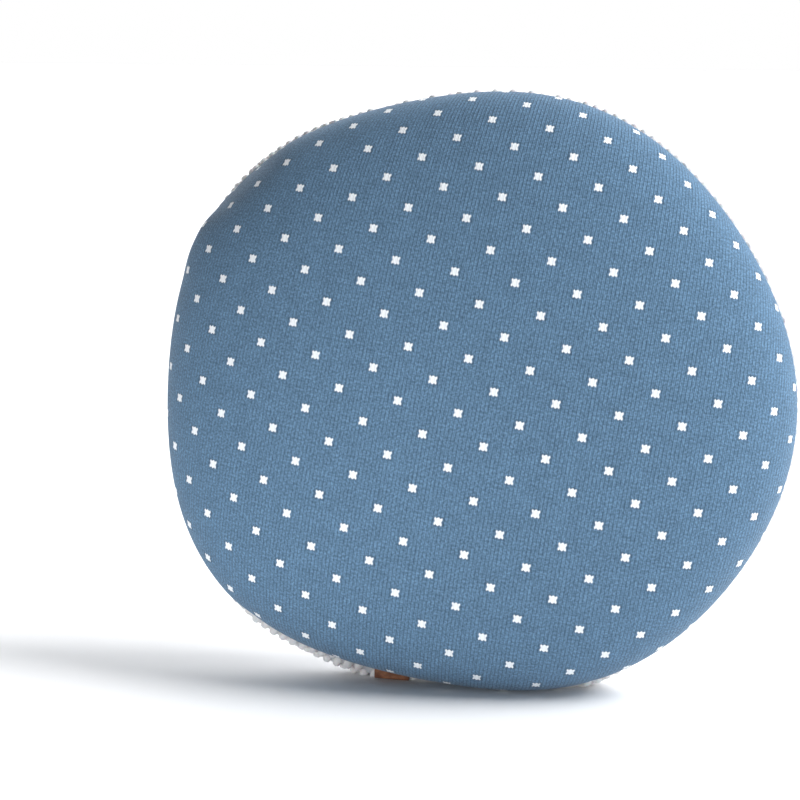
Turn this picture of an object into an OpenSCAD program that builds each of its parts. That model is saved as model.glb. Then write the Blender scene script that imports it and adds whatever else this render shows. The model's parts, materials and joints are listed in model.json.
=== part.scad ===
// Round two-faced cushion: a removable knit and plush cover, a zip in its side seam,
// a leather tab in the bottom seam, and a lined pad of fibre filling inside.
// The cushion stands on its edge on a slumped foot and leans back a little.
// Millimetres. +Z is up, +X is to the right and the knit face looks towards -Y.
// The origin is on the floor, below the middle of the cushion's bounding box.

/* [Outline] */
// Mean radius of the outline, seen square to the seam
outline_r = 219; // [190:1:240]
// Radius that the wide axis gains and the narrow axis loses
oval = 6; // [0:0.1:8]
// Direction of the wide axis, in degrees
oval_at = 1.5; // [-30:0.5:30]
// Size of the three-lobed unevenness of the outline
lobe_3 = 2.2; // [0:0.1:4]
// Direction of a three-lobe crest, in degrees
lobe_3_at = -29.5; // [-60:0.5:60]
// Size of the four-lobed unevenness of the outline
lobe_4 = 3; // [0:0.1:4]
// Direction of a four-lobe crest, in degrees
lobe_4_at = 44; // [-45:0.5:45]
// Size of the five-lobed unevenness of the outline
lobe_5 = 3.4; // [0:0.1:4]

/* [Domes] */
// Height of the knit dome in front of the seam plane
front_dome = 80; // [60:1:88]
// Height of the plush dome behind the seam plane
back_dome = 70; // [60:1:80]
// Fullness of the domes: 2 is an ellipse, more is boxier
fullness = 2.35; // [2:0.05:2.8]
// Depth of the groove that the seam pulls into the surface
groove = 3; // [2:0.5:5]
// Distance over which the groove fades out
groove_fade = 5; // [3:0.5:8]

/* [Stance] */
// Backward lean of the seam plane, in degrees
lean = 1.5; // [1:0.5:3]
// Depth of outline that the floor presses flat
foot_press = 2; // [1.5:0.5:3]
// Drop of the lower back where the filling slumps to the floor
slump = 28; // [24:1:32]
// Half width of the slumped part
slump_w = 82; // [60:1:100]
// Sideways place of the middle of the foot
foot_x = 12; // [0:1:20]

/* [Cloth] */
// Thickness of the knit panel
knit_t = 1.8; // [1.2:0.1:2.4]
// Thickness of the plush panel
plush_t = 2.5; // [1.6:0.1:3]
// Thickness of the pad's lining
lining_t = 0.6; // [0.4:0.1:1]
// Width of the cover's seam allowance
allowance = 10; // [7:0.5:12]
// Width of the lining's seam allowance
lining_allowance = 6; // [4:0.5:8]
// Diameter of the sewing thread
thread_d = 0.8; // [0.4:0.1:0.8]

/* [Leather tab] */
// Width of the tab along the seam
tab_w = 25; // [15:1:30]
// Length of the tab's loop below the seam
tab_drop = 10.2; // [7:0.2:10.2]
// Length of the tab's ends inside the seam
tab_root = 8; // [5:0.5:9]
// Thickness of the leather
tab_t = 1.3; // [1:0.1:1.5]
// Direction of the tab from the middle, in degrees
tab_at = 253.6; // [250:0.1:257]
// Slope of the tab's lower edge, in degrees
tab_tilt = 1.5; // [0:0.5:1.5]

/* [Zip] */
// Length of the zip chain
zip_len = 250; // [200:5:260]
// Direction of the middle of the chain, about the chain's own centre
zip_at = 182.5; // [178:0.5:184]
// Distance from the cushion's middle to the chain's own centre
zip_offset = 38; // [34:1:42]
// Depth of the chain below the outline
zip_depth = 5; // [4:0.5:7]
// Half of the opening between the two folded panel edges
zip_gap = 6.3; // [6:0.1:7]
// Width of one row of the coil
coil_w = 1.9; // [1.7:0.1:2.1]
// Height of the coil
coil_h = 2; // [1.8:0.1:2.2]
// Width of each tape
tape_w = 13; // [11:0.5:14]
// Thickness of the tape
tape_t = 0.6; // [0.4:0.1:0.7]
// Length of the slider
slider_len = 12; // [10:0.5:14]
// Length of the slider's pull
pull_len = 22; // [16:1:28]

/* [Hidden] */

KNIT_BLUE = [0.36, 0.49, 0.62];
PLUSH_WHITE = [0.95, 0.95, 0.94];
LEATHER_BROWN = [0.55, 0.33, 0.22];
THREAD_WHITE = [0.94, 0.94, 0.93];
TAPE_WHITE = [0.93, 0.93, 0.92];
COIL_WHITE = [0.88, 0.88, 0.87];
METAL_GREY = [0.72, 0.72, 0.74];
LINING_WHITE = [0.96, 0.96, 0.95];
FIBRE_WHITE = [0.98, 0.98, 0.98];

// Grid of the soft surfaces: steps round the outline, and rings from the seam to the pole
STEPS = 64;
RINGS = 13;
RING_CROWDING = 1.5;
THREAD_SIDES = 6;
EXACT_FN = 48;
ARC_FN = 180;
turns = [for (k = [0:STEPS - 1]) 360 * k / STEPS];
function ring_u(i) = 90 * pow(i / RINGS, RING_CROWDING);

// Small spaces between neighbouring layers, and of the running parts
seam_gap = 0.5;
layer_gap = 0.8;
fill_gap = 0.5;
run_gap = 0.35;
pin_gap = 0.05;
end_gap = 0.1;

// How far the lining draws in behind the cover's seam, and further behind the zip
lining_groove = 16;
zip_groove = 18;
lining_fade = 10;
fill_groove = 8;

// Extra room over the foot, between the cover and the lining and between the lining and the filling
foot_room = 2.5;
// Where the slump starts behind the bottom seam, its run, and the height where it ends
slump_start = -20;
slump_run = 50;
slump_top = 150;
// Height over which a surface turns into the flat of the foot
floor_blend = 1.5;

// 0 to 1 with no corners, and a window that is 1 from low to high
function ramp(x) = let (t = max(0, min(1, x))) t * t * (3 - 2 * t);
function window(a, low, high, soft) = ramp((a - low) / soft + 1) * ramp((high - a) / soft + 1);

// Radius of the cushion's outline in direction a
function lobe(n, size, at, a) = size * cos(n * (a - at));
function outline(a) = outline_r + lobe(2, oval, oval_at, a) + lobe(3, lobe_3, lobe_3_at, a)
    + lobe(4, lobe_4, lobe_4_at, a) + lobe(5, lobe_5, 0, a);

// Zip chain: an arc about its own centre, so that the slider follows a true circle
zip_r = outline_r + zip_offset - zip_depth;
zip_half = zip_len / zip_r * 90 / PI;
zip_from = zip_at - zip_half;
zip_to = zip_at + zip_half;
tape_over = 2.6;
tape_from = zip_from - tape_over;
tape_to = zip_to + tape_over;
coil_up = coil_h / 2;
tape_out = -coil_up - 0.05;
tape_in = tape_out - tape_t;
web_half = 0.25;
row_in = 0.6;
row_out = row_in + coil_w;
stitch_r = 0.35;
stitch_up = 0.4;
stitch_across = 9.5;
stop_len = 1.2;
tack_at = 5;
tack_w = 1;
tack_half = 5;

// The chain's place and the tape's ends, seen from the cushion's middle
function zip_arc(a) = zip_offset * cos(a) + sqrt(pow(zip_r, 2) - pow(zip_offset * sin(a), 2));
function bearing(b) = (atan2(zip_r * sin(b), zip_offset + zip_r * cos(b)) + 360) % 360;
open_from = bearing(tape_from) - 1;
open_to = bearing(tape_to) + 1;
open_soft = 7;
function zip_open(a) = window(a, open_from, open_to, open_soft);
rim_above_chain = 2.4;

// Slider at the closed, upper end of the chain, and its pull
slider_margin = 0.2;
slider_at = zip_from + slider_len / 2 / zip_r * 180 / PI + slider_margin;
slider_half_w = 4.2;
plate_t = 1;
pin_r = 0.75;
pin_up = coil_up + run_gap + plate_t + 1.35;
lug_r = 1.5;
lug_half = 1.2;
arm_gap = 0.25;
arm_w = 1.2;
arm_r = 1;
arm_len = 2.4;
pull_t = 1.2;

// Leather tab: its fold, and the room that its two plies take between the panels
fold_in = 0.25;
fold_r = tab_t + fold_in;
tab_room = fold_r + 0.1;
thread_clear = 5.5;
function tab_open(a) = window(a, tab_at - 6, tab_at + 6, 5);

// Blank label: steps and rings of the panel that it covers
label_t = 0.3;
label_steps = [42, 44];
label_rings = [3, 5];

// Edge of the cover along the seam: opening, radius, groove depth and turned-in width
function rim_gap(a) = seam_gap + (zip_gap - seam_gap) * zip_open(a)
    + (tab_room - seam_gap) * tab_open(a);
function rim_r(a) = let (w = zip_open(a))
    (1 - w) * (outline(a) - groove) + w * (zip_arc(a) + rim_above_chain);
cover_cuts = [for (a = turns) outline(a) - rim_r(a)];
cover_gaps = [for (a = turns) rim_gap(a)];
function cover_turn_in(t) = [for (a = turns) allowance + (t + 0.3 - allowance) * zip_open(a)];

// Lining and filling: insets, groove depths and edges
lining_front_in = knit_t + layer_gap;
lining_back_in = plush_t + layer_gap;
fill_front_in = lining_front_in + lining_t + fill_gap;
fill_back_in = lining_back_in + lining_t + fill_gap;
lining_cuts = [for (a = turns) lining_groove + zip_groove * zip_open(a)];
lining_lift = 1.5 * plush_t + foot_room;
fill_lift = lining_lift + 1.5 * lining_t + foot_room;
lining_gaps = [for (a = turns) seam_gap];
lining_turn_in = [for (a = turns) lining_allowance];
fill_cuts = [for (cut = lining_cuts) cut + fill_groove];

// A point at radius r, direction a and distance d in front of the seam plane, in the room
centre_z = outline(270) * cos(lean) + 1.5 - foot_press;
function place(r, a, d) = [
    r * cos(a),
    r * sin(a) * sin(lean) - d * cos(lean),
    centre_z + r * sin(a) * cos(lean) + d * sin(lean)
];
function slumped(p) = p - [0, 0, slump * exp(-pow((p.x - foot_x) / slump_w, 2))
    * ramp((p.y - slump_start) / slump_run) * (1 - ramp(p.z / slump_top))];
function pressed(p, lift) = let (t = p.z - lift)
    t >= floor_blend ? p
    : [p.x, p.y, t <= -floor_blend ? lift : lift + pow(t + floor_blend, 2) / (4 * floor_blend)];
function resting(r, a, d, lift) = pressed(slumped(place(r, a, d)), lift);

// A dome's radius and its distance from the seam plane, u being 0 at the seam and 90 at the pole
function dome_r(a, inset, cut, fade, d, gap, u) =
    (outline(a) - inset) * pow(cos(u), 2 / fullness) - cut * exp((gap - d) / fade);
function dome_d(height, gap, u) = gap + (height - gap) * pow(sin(u), 2 / fullness);

// The cover's outer points, and the middle of their box, which lies over the origin
cover_points = [for (side = [1, -1], i = [0:RINGS - 1], k = [0:STEPS - 1])
    let (u = ring_u(i), gap = cover_gaps[k], d = dome_d(side > 0 ? front_dome : back_dome, gap, u))
    resting(dome_r(turns[k], 0, cover_cuts[k], groove_fade, d, gap, u), turns[k], side * d, 0)];
function middle(list) = (min(list) + max(list)) / 2;
origin_shift = [middle([for (p = cover_points) p.x]), middle([for (p = cover_points) p.y]), 0];
function settled(r, a, d, lift) = resting(r, a, d, lift) - origin_shift;

// Rows of points round the outline, joined into one closed skin with a point at each end.
// The front is wound one way and the back the other, so that both face outwards.
module skin(rows, first_pole, last_pole, side) {
    n = STEPS;
    m = len(rows);
    points = concat([for (row = rows) each row], [first_pole, last_pole]);
    walls = [for (i = [0:m - 2], k = [0:n - 1])
        let (a = i * n + k, b = i * n + (k + 1) % n) each [[a, b, b + n], [a, b + n, a + n]]];
    first_fan = [for (k = [0:n - 1]) [m * n, (k + 1) % n, k]];
    last_fan = [for (k = [0:n - 1]) [m * n + 1, (m - 1) * n + k, (m - 1) * n + (k + 1) % n]];
    faces = concat(walls, first_fan, last_fan);
    polyhedron(points, side > 0 ? faces : [for (f = faces) [f[2], f[1], f[0]]]);
}

// One row of a dome's face: cuts and gaps hold the groove depth and the opening at each step,
// and lift is its least height over the floor
function face_row(side, height, inset, cuts, fade, gaps, u, lift) = [for (k = [0:STEPS - 1])
    let (d = dome_d(height - inset, gaps[k], u))
    settled(dome_r(turns[k], inset, cuts[k], fade, d, gaps[k], u), turns[k], side * d, lift)];
function edge_row(side, radii, gaps, lift) = [for (k = [0:STEPS - 1])
    settled(radii[k], turns[k], side * gaps[k], lift)];
function pole(side, height, inset) = settled(0, 0, side * (height - inset), inset);

// Half of a case: outer face, turned-in seam allowance and inner face
module half_shell(side, height, inset, t, cuts, fade, gaps, turn_in, lift) {
    inner_lift = lift + 1.5 * t;
    inner_gaps = [for (gap = gaps) gap + t];
    turned = [for (k = [0:STEPS - 1]) outline(turns[k]) - inset - cuts[k] - turn_in[k]];
    outer = [for (i = [RINGS - 1:-1:0])
        face_row(side, height, inset, cuts, fade, gaps, ring_u(i), lift)];
    inner = [for (i = [0:RINGS - 1])
        face_row(side, height, inset + t, cuts, fade, inner_gaps, ring_u(i), inner_lift)];
    flange = [edge_row(side, turned, gaps, lift), edge_row(side, turned, inner_gaps, inner_lift)];
    skin(concat(outer, flange, inner), pole(side, height, inset), pole(side, height, inset + t), side);
}

// Thread laid along a seam between two directions, as one tube with closed ends
module thread_run(depth, from, to) {
    n = THREAD_SIDES;
    thread_r = thread_d / 2;
    count = ceil((to - from) / 360 * STEPS);
    rows = [for (i = [0:count]) let (a = from + (to - from) * i / count)
        [for (j = [0:n - 1]) let (v = 360 * j / n)
            settled(outline(a) - depth + thread_r * cos(v), a, thread_r * sin(v),
                    seam_gap + thread_r * (1 - cos(v)))]];
    walls = [for (i = [0:count - 1], k = [0:n - 1])
        let (a = i * n + k, b = i * n + (k + 1) % n) each [[a, b + n, b], [a, a + n, b + n]]];
    start_cap = [for (k = [0:n - 1]) k];
    end_cap = [for (k = [n - 1:-1:0]) count * n + k];
    polyhedron([for (row = rows) each row], concat(walls, [start_cap, end_cap]));
}

// A small sheet against the inside of a panel, on the panel's own steps and rings
module sheet_patch(side, height, inset, t, steps, rings) {
    nk = steps[1] - steps[0] + 1;
    ni = rings[1] - rings[0] + 1;
    layer = nk * ni;
    points = [for (depth = [inset, inset + t], i = [rings[0]:rings[1]])
        let (row = face_row(side, height, depth, cover_cuts, groove_fade, cover_gaps, ring_u(i), 0))
        for (k = [steps[0]:steps[1]]) row[k]];
    tops = [for (i = [0:ni - 2], k = [0:nk - 2]) let (a = i * nk + k)
        each [[a, a + 1, a + nk + 1], [a, a + nk + 1, a + nk]]];
    bottoms = [for (f = tops) [f[2] + layer, f[1] + layer, f[0] + layer]];
    border = concat([for (k = [0:nk - 1]) k], [for (i = [1:ni - 1]) i * nk + nk - 1],
        [for (k = [nk - 2:-1:0]) (ni - 1) * nk + k], [for (i = [ni - 2:-1:1]) i * nk]);
    edges = [for (j = [0:len(border) - 1]) let (a = border[j], b = border[(j + 1) % len(border)])
        each [[b, a, a + layer], [b, a + layer, b + layer]]];
    polyhedron(points, concat(tops, bottoms, edges));
}

// Frames of reference for the exact pieces
module seam_frame() {
    translate([0, 0, centre_z] - origin_shift) rotate([90 - lean, 0, 0]) children();
}
module chain_frame() {
    seam_frame() translate([zip_offset, 0, 0]) children();
}
// x outwards from the chain's middle line, y along the chain, z towards the front
module on_chain(at) {
    chain_frame() rotate([0, 0, at]) translate([zip_r, 0, 0]) children();
}
module chain_band(low, high, from, to) {
    chain_frame() rotate([0, 0, from]) rotate_extrude(angle = to - from, $fn = ARC_FN)
        translate([zip_r + low.x, low.y]) square(high - low);
}
module block(low, high) {
    translate(low) cube(high - low);
}
// Low and high ends of a span on one side of the seam plane
function on_side(side, near, far) = side > 0 ? [near, far] : [-far, -near];

// Cover
module knit_front_panel() {
    color(KNIT_BLUE) half_shell(1, front_dome, 0, knit_t, cover_cuts, groove_fade, cover_gaps,
        cover_turn_in(knit_t), 0);
}
module plush_back_panel() {
    color(PLUSH_WHITE) half_shell(-1, back_dome, 0, plush_t, cover_cuts, groove_fade, cover_gaps,
        cover_turn_in(plush_t), 0);
}
module cover_seam_thread() {
    depth = groove + 2 * thread_d;
    color(THREAD_WHITE) thread_run(depth, open_to + open_soft, tab_at - thread_clear);
    color(THREAD_WHITE) thread_run(depth, tab_at + thread_clear, 360 + open_from - open_soft);
}

// A folded strip: two plies hang from the seam and meet in a round fold
module leather_tab() {
    rim = outline(tab_at) - groove;
    flat = tab_root + tab_drop - fold_r;
    color(LEATHER_BROWN) seam_frame() translate([rim * cos(tab_at), rim * sin(tab_at), 0])
        rotate([0, 0, -tab_tilt]) rotate([0, 90, 0]) translate([0, 0, -tab_w / 2])
            linear_extrude(tab_w) translate([0, fold_r - tab_drop]) difference() {
                union() {
                    translate([-fold_r, 0]) square([2 * fold_r, flat]);
                    circle(fold_r, $fn = EXACT_FN);
                }
                translate([-fold_in, 0]) square([2 * fold_in, flat + 1]);
                circle(fold_in, $fn = EXACT_FN);
            }
}
module care_label() {
    color(THREAD_WHITE) sheet_patch(-1, back_dome, plush_t + layer_gap / 4, label_t, label_steps,
        label_rings);
}

// Zip
module zip_tape(side) {
    across = on_side(side, row_in, tape_w);
    color(TAPE_WHITE) chain_band([tape_in, across[0]], [tape_out, across[1]], tape_from, tape_to);
}
module zip_tape_front() zip_tape(1);
module zip_tape_back() zip_tape(-1);

module zip_coil(side) {
    across = on_side(side, row_in, row_out);
    color(COIL_WHITE) chain_band([-coil_up, across[0]], [coil_up, across[1]], zip_from, zip_to);
}
module zip_coil_front() zip_coil(1);
module zip_coil_back() zip_coil(-1);

// The line of stitches that holds a tape to its panel
module zip_stitching(side) {
    color(THREAD_WHITE) chain_frame() rotate([0, 0, tape_from])
        rotate_extrude(angle = tape_to - tape_from, $fn = ARC_FN)
            translate([zip_r + tape_out + stitch_up, side * stitch_across])
                circle(stitch_r, $fn = EXACT_FN / 2);
}
module zip_stitching_front() zip_stitching(1);
module zip_stitching_back() zip_stitching(-1);

module zip_top_stops() {
    color(METAL_GREY) on_chain(zip_from) for (side = [-1, 1]) {
        across = on_side(side, row_in, row_out);
        block([tape_out, -stop_len - end_gap, across[0]], [coil_up, -end_gap, across[1]]);
    }
}
module zip_bottom_stop() {
    color(METAL_GREY) on_chain(zip_to)
        block([tape_out, end_gap, -row_out], [coil_up, end_gap + 2 * stop_len, row_out]);
}
module zip_bar_tacks() {
    color(THREAD_WHITE) on_chain(zip_from)
        block([tape_out, -tack_at - tack_w, -tack_half], [tape_out + tack_w, -tack_at, tack_half]);
    color(THREAD_WHITE) on_chain(zip_to)
        block([tape_out, tack_at, -tack_half], [tape_out + tack_w, tack_at + tack_w, tack_half]);
}

// Slider: outer plate with side walls, a thin web between the two rows, and an inner plate
module zip_slider() {
    top = coil_up + run_gap;
    bottom = tape_in - run_gap;
    wall = row_out + run_gap;
    reach = slider_len / 2;
    color(METAL_GREY) on_chain(slider_at) difference() {
        union() {
            block([top, -reach, -slider_half_w], [top + plate_t, reach, slider_half_w]);
            block([bottom - plate_t, -reach, -slider_half_w], [bottom, reach, slider_half_w]);
            block([bottom - plate_t / 2, -reach, -web_half], [top + plate_t / 2, reach, web_half]);
            block([tape_out + run_gap, -reach, wall], [top + plate_t / 2, reach, slider_half_w]);
            block([tape_out + run_gap, -reach, -slider_half_w], [top + plate_t / 2, reach, -wall]);
            block([top + plate_t / 2, -lug_r, -lug_half], [pin_up, lug_r, lug_half]);
            translate([pin_up, 0, -lug_half]) cylinder(h = 2 * lug_half, r = lug_r, $fn = EXACT_FN);
        }
        translate([pin_up, 0, -2 * lug_half])
            cylinder(h = 4 * lug_half, r = pin_r + pin_gap, $fn = EXACT_FN);
    }
}

// Pull: a plate with two arms and the cross pin that turns in the slider's lug
module zip_pull() {
    low = pin_up - pull_t / 2;
    high = pin_up + pull_t / 2;
    inside = lug_half + arm_gap;
    outside = inside + arm_w;
    color(METAL_GREY) on_chain(slider_at) union() {
        translate([pin_up, 0, -outside]) cylinder(h = 2 * outside, r = pin_r, $fn = EXACT_FN);
        for (side = [-1, 1]) {
            across = on_side(side, inside, outside);
            block([low, 0, across[0]], [high, arm_len + 1, across[1]]);
            translate([pin_up, 0, across[0]]) cylinder(h = arm_w, r = arm_r, $fn = EXACT_FN);
        }
        block([low, arm_len, -outside], [high, pull_len - outside, outside]);
        translate([low, pull_len - outside, 0]) rotate([0, 90, 0])
            cylinder(h = pull_t, r = outside, $fn = EXACT_FN);
    }
}

// Pad
module lining_front() {
    color(LINING_WHITE) half_shell(1, front_dome, lining_front_in, lining_t, lining_cuts, lining_fade,
        lining_gaps, lining_turn_in, lining_lift);
}
module lining_back() {
    color(LINING_WHITE) half_shell(-1, back_dome, lining_back_in, lining_t, lining_cuts, lining_fade,
        lining_gaps, lining_turn_in, lining_lift);
}
module lining_seam_thread() {
    n = THREAD_SIDES;
    thread_r = thread_d / 2;
    seam_r = [for (k = [0:STEPS - 1]) outline(turns[k]) - lining_back_in - lining_cuts[k] - thread_d];
    rows = [for (k = [0:STEPS - 1]) [for (j = [0:n - 1]) let (v = 360 * j / n)
        settled(seam_r[k] + thread_r * cos(v), turns[k], thread_r * sin(v), lining_lift)]];
    walls = [for (i = [0:STEPS - 1], k = [0:n - 1])
        let (a = i * n + k, b = i * n + (k + 1) % n, c = ((i + 1) % STEPS) * n, k2 = (k + 1) % n)
        each [[a, c + k2, b], [a, c + k, c + k2]]];
    color(THREAD_WHITE) polyhedron([for (row = rows) each row], walls);
}
module fibre_fill() {
    front = [for (i = [RINGS - 1:-1:0])
        face_row(1, front_dome, fill_front_in, fill_cuts, lining_fade, lining_gaps, ring_u(i),
            fill_lift)];
    back = [for (i = [0:RINGS - 1])
        face_row(-1, back_dome, fill_back_in, fill_cuts, lining_fade, lining_gaps, ring_u(i),
            fill_lift)];
    color(FIBRE_WHITE) skin(concat(front, back), pole(1, front_dome, fill_front_in),
        pole(-1, back_dome, fill_back_in), 1);
}

knit_front_panel();
plush_back_panel();
cover_seam_thread();
leather_tab();
care_label();
zip_tape_front();
zip_tape_back();
zip_coil_front();
zip_coil_back();
zip_stitching_front();
zip_stitching_back();
zip_top_stops();
zip_bottom_stop();
zip_bar_tacks();
zip_slider();
zip_pull();
lining_front();
lining_back();
lining_seam_thread();
fibre_fill();
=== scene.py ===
"""A plump round cushion that stands on its edge, with a knit front and a dotted plush back.

Everything is in metres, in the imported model's frame. Directions round the seam are in degrees,
seen from the front: 0 is to the right and 90 is up.
"""

import json
import math

import bpy
import numpy as np
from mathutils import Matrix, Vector


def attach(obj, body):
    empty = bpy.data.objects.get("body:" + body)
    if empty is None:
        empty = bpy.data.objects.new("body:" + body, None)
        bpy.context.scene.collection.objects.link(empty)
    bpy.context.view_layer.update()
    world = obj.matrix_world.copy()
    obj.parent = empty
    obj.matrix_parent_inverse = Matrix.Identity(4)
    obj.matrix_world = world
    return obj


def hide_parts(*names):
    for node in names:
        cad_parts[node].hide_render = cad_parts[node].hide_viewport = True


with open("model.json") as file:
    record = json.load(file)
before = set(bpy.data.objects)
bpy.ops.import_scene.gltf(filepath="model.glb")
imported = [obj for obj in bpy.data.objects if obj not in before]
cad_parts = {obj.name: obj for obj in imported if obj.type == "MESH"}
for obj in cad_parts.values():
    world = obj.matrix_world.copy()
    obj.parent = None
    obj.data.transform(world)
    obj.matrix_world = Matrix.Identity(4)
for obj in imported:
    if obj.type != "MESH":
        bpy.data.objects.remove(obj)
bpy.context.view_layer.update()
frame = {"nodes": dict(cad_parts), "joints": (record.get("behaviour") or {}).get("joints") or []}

MM = 0.001

# --- Driving dimensions, as in the CAD design ---------------------------------------------

OUTLINE_R = 219 * MM
# The outline's waves: how many, how high, and the direction of their first crest
LOBES = [(2, 6 * MM, 1.5), (3, 2.2 * MM, -29.5), (4, 3 * MM, 44), (5, 3.4 * MM, 0)]
FRONT_DOME = 80 * MM
BACK_DOME = 70 * MM
FULLNESS = 2.35
GROOVE = 3 * MM
GROOVE_FADE = 5 * MM
SEAM_GAP = 0.5 * MM
ALLOWANCE = 10 * MM

SLUMP = 28 * MM
SLUMP_W = 82 * MM
FOOT_X = 12 * MM
SLUMP_START = -20 * MM
SLUMP_RUN = 50 * MM
SLUMP_TOP = 150 * MM
FLOOR_BLEND = 1.5 * MM

KNIT_T = 1.8 * MM
PLUSH_T = 2.5 * MM
LINING_T = 0.6 * MM
LAYER_GAP = 0.8 * MM
FILL_GAP = 0.5 * MM
FOOT_ROOM = 2.5 * MM
LINING_GROOVE = 16 * MM
LINING_FADE = 10 * MM
LINING_ALLOWANCE = 6 * MM
FILL_GROOVE = 8 * MM
FILL_POLE_INSET = 8 * MM
LUMP_H = 1.2 * MM
LUMPS_FROM = 4
THREAD_D = 0.8 * MM
SEAM_STITCH = 3 * MM
# How much further off the floor an inner face lies than its outer face, in thicknesses
LIFT_SHARE = 1.5

ZIP_OFFSET = 38 * MM
ZIP_R = OUTLINE_R + ZIP_OFFSET - 5 * MM
ZIP_AT = 182.5
ZIP_HALF = math.degrees(125 * MM / ZIP_R)
TAPE_OVER = 2.6
ZIP_GAP = 6.3 * MM
ZIP_GROOVE = 18 * MM
RIM_ABOVE_CHAIN = 2.4 * MM
OPEN_SOFT = 7
COIL_HALF_H = 1 * MM
COIL_IN = 0.4 * MM
COIL_OUT = 2.5 * MM
COIL_WIRE = 0.33 * MM
COIL_PITCH = 1.5 * MM
TAPE_STITCH = 2.6 * MM
TAPE_THREAD_R = 0.35 * MM
STITCH_ACROSS = 9.5 * MM

TAB_AT = 253.6
TAB_W = 25 * MM
TAB_T = 1.3 * MM
TAB_DROP = 10.2 * MM
TAB_ROOT = 8 * MM
TAB_TILT = 1.5
TAB_FOLD_IN = 0.25 * MM
TAB_ROOM = TAB_FOLD_IN + TAB_T + 0.1 * MM
THREAD_CLEAR = 5.5
TAB_BOW = 0.35 * MM
TAB_EDGE = 0.22 * MM
METAL_EDGE = 0.18 * MM

# The seam's own frame of reference, from the joint that the slider turns on
TRAVEL = next(joint for joint in frame["joints"] if joint["name"] == "slider_travel")
LEAN = math.degrees(math.asin(TRAVEL["axis"][2]))
CHAIN_CENTRE = np.array(TRAVEL["pos_m"])
SEAM_CENTRE = CHAIN_CENTRE - [ZIP_OFFSET, 0, 0]

# Knit: one repeat of the motifs is 16 wales across and 22 courses up
REPEAT_W = 42.22 * MM
REPEAT_H = 37.89 * MM
REPEAT_WALES = 16
REPEAT_COURSES = 22
KNIT_TURN = -9.75
KNIT_SHIFT = (1.64 * MM, -0.9 * MM)
KNIT_SHEAR = 0.010
KNIT_STRETCH = (0.017, -0.039)

# Where the filling pushes a panel out beside the seam, or leaves it slack: direction from, direction
# to, how softly it ends and how far out. The places of the swells are seen from the front.
FRONT_SWELLS = [(134, 142, 8, -3 * MM), (149, 153, 7, 2 * MM)]
BACK_SWELLS = [(80, 102, 22, -4.5 * MM), (-56, 52, 24, -2.5 * MM), (220, 250, 9, 8.5 * MM)]
# Where the plush dots swell too, because the pile is pulled tight round the seam
PLUMP_DOTS = (218, 254, 5, 0.45)
# A swell's middle and half width on the way from the seam, 0, to the pole, 90
SWELL_AT = 11
SWELL_W = 13
SWELL_START = 4

BLUE = (0.083, 0.158, 0.248, 1)
PALE_BLUE = (0.098, 0.181, 0.277, 1)

# Plush: raised dots in rows that are DOT_PITCH apart
DOT_PITCH = 8.15 * MM
DOT_R = 3.65 * MM
DOT_H = 3 * MM
DOT_SIDES = 10
DOT_SUNK = -0.3
# Rings of a dot from its foot to its crown: share of its radius and of its height
DOT_PROFILE = [(1.0, DOT_SUNK), (0.93, 0.42), (0.62, 0.86)]
DOT_KEEP_OFF = 1.6 * MM
DOT_JITTER = 0.2
FLOOR_CLEARANCE = 0.02 * MM

# Fineness of the meshes: points round a skin, and rings from its seam to its pole
AROUND = 480
OUTER_RINGS = 96
INNER_RINGS = 24
LINING_AROUND = 192
LINING_RINGS = 40
FILL_AROUND = 160
FILL_RINGS = 36


# --- Shape of the cushion -----------------------------------------------------------------

def cosd(a):
    return np.cos(np.radians(a))


def sind(a):
    return np.sin(np.radians(a))


def ramp(x):
    """0 to 1 with no corners."""
    t = np.clip(x, 0, 1)
    return t * t * (3 - 2 * t)


def window(a, low, high, soft):
    """1 from low to high, and 0 further than soft outside them."""
    return ramp((a - low) / soft + 1) * ramp((high - a) / soft + 1)


def outline(a):
    return OUTLINE_R + sum(size * cosd(n * (a - at)) for n, size, at in LOBES)


def chain_bearing(b):
    """Direction from the cushion's middle of a point of the zip chain at b about its own centre."""
    return math.degrees(math.atan2(ZIP_R * sind(b), ZIP_OFFSET + ZIP_R * cosd(b))) % 360


OPEN_FROM = chain_bearing(ZIP_AT - ZIP_HALF - TAPE_OVER) - 1
OPEN_TO = chain_bearing(ZIP_AT + ZIP_HALF + TAPE_OVER) + 1


def zip_open(a):
    return window(a % 360, OPEN_FROM, OPEN_TO, OPEN_SOFT)


def tab_open(a):
    return window(a % 360, TAB_AT - 6, TAB_AT + 6, 5)


def rim_gap(a):
    """Distance of a panel's edge from the seam plane."""
    return SEAM_GAP + (ZIP_GAP - SEAM_GAP) * zip_open(a) + (TAB_ROOM - SEAM_GAP) * tab_open(a)


def cover_cut(a):
    """Depth of the panel's edge below the outline."""
    zip_arc = ZIP_OFFSET * cosd(a) + np.sqrt(ZIP_R ** 2 - (ZIP_OFFSET * sind(a)) ** 2)
    at_zip = outline(a) - zip_arc - RIM_ABOVE_CHAIN
    return GROOVE + (at_zip - GROOVE) * zip_open(a)


def lining_cut(a):
    return LINING_GROOVE + ZIP_GROOVE * zip_open(a)


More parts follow.
